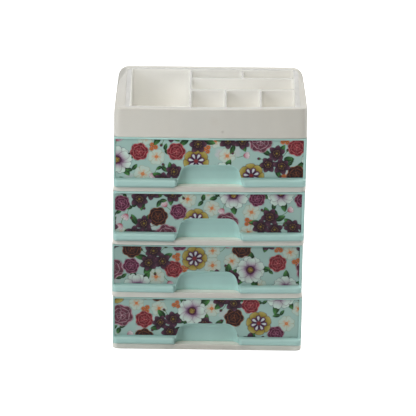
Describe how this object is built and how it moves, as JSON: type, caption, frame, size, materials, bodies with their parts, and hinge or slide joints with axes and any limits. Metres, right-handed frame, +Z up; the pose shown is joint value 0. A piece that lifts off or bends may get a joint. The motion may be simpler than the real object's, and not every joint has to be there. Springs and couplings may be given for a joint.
{
  "type": "desktop mini drawers",
  "caption": "Tower of stacked small drawers with printed fronts and finger recesses, topped by an open sloping compartment tray, for stationery, cosmetics or craft parts on a desk.",
  "frame": {"origin": "middle of the footprint's box, on the surface the tower stands on", "axes": "+Z up, drawers open towards -Y, +X to the right of a person facing the drawers"},
  "size_m": [0.18, 0.1054, 0.2524],
  "materials": {
    "white_plastic": "satin moulded polypropylene, off-white",
    "tray_plastic": "satin moulded polypropylene, natural ivory, slightly translucent",
    "mint_plastic": "satin moulded polypropylene, pale mint green",
    "printed_film": null
  },
  "bodies": {
    "tower": {"top_housing": "white_plastic", "tier_frame_1": "white_plastic", "tier_frame_2": "white_plastic", "tier_frame_3": "white_plastic", "base_frame_4": "white_plastic", "compartment_tray": "tray_plastic"},
    "drawer_body_1": {"drawer_1": "mint_plastic", "drawer_label_1": "printed_film"},
    "drawer_body_2": {"drawer_2": "mint_plastic", "drawer_label_2": "printed_film"},
    "drawer_body_3": {"drawer_3": "mint_plastic", "drawer_label_3": "printed_film"},
    "drawer_body_4": {"drawer_4": "mint_plastic", "drawer_label_4": "printed_film"}
  },
  "joints": [
    {"name": "drawer_1_slide", "type": "slide", "parent": "tower", "child": "drawer_body_1", "axis": [0, -1, 0], "range_m": [0, 0.065]},
    {"name": "drawer_2_slide", "type": "slide", "parent": "tower", "child": "drawer_body_2", "axis": [0, -1, 0], "range_m": [0, 0.065]},
    {"name": "drawer_3_slide", "type": "slide", "parent": "tower", "child": "drawer_body_3", "axis": [0, -1, 0], "range_m": [0, 0.065]},
    {"name": "drawer_4_slide", "type": "slide", "parent": "tower", "child": "drawer_body_4", "axis": [0, -1, 0], "range_m": [0, 0.065]}
  ]
}
